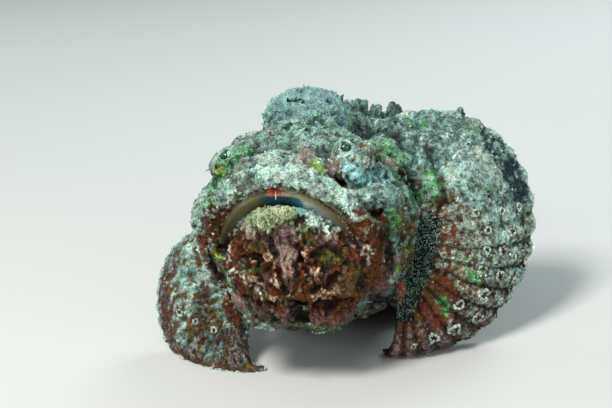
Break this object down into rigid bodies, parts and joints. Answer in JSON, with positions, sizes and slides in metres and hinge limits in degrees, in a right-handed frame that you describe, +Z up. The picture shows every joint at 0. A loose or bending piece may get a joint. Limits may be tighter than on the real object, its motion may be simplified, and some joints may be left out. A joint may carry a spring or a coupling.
{
  "type": "stonefish",
  "caption": "Life-size still model of a reef stonefish resting on its belly, mouth raised, with fanned pectoral fins, warty skin and a low row of sheathed dorsal spines.",
  "frame": {"origin": "middle of the flat under the belly, where the fish rests on the floor", "axes": "+Z up, the mouth faces -Y, the tail points to +Y, the fish's own left is +X"},
  "size_m": [0.2334, 0.3575, 0.1563],
  "materials": {
    "skin": "rough, warty skin overgrown with pale turf, rust red on the jaw and the inner fins",
    "eye": "glossy dark green"
  },
  "bodies": {
    "root": {"head": "skin", "torso": "skin", "tail_stalk": "skin", "lower_jaw": "skin", "pectoral_fin_left": "skin", "pectoral_fin_right": "skin", "pelvic_fin_left": "skin", "pelvic_fin_right": "skin", "dorsal_fin_spines": "skin", "dorsal_fin_soft": "skin", "tail_fin": "skin", "anal_fin": "skin", "eye_left": "eye", "eye_right": "eye"}
  },
  "joints": []
}
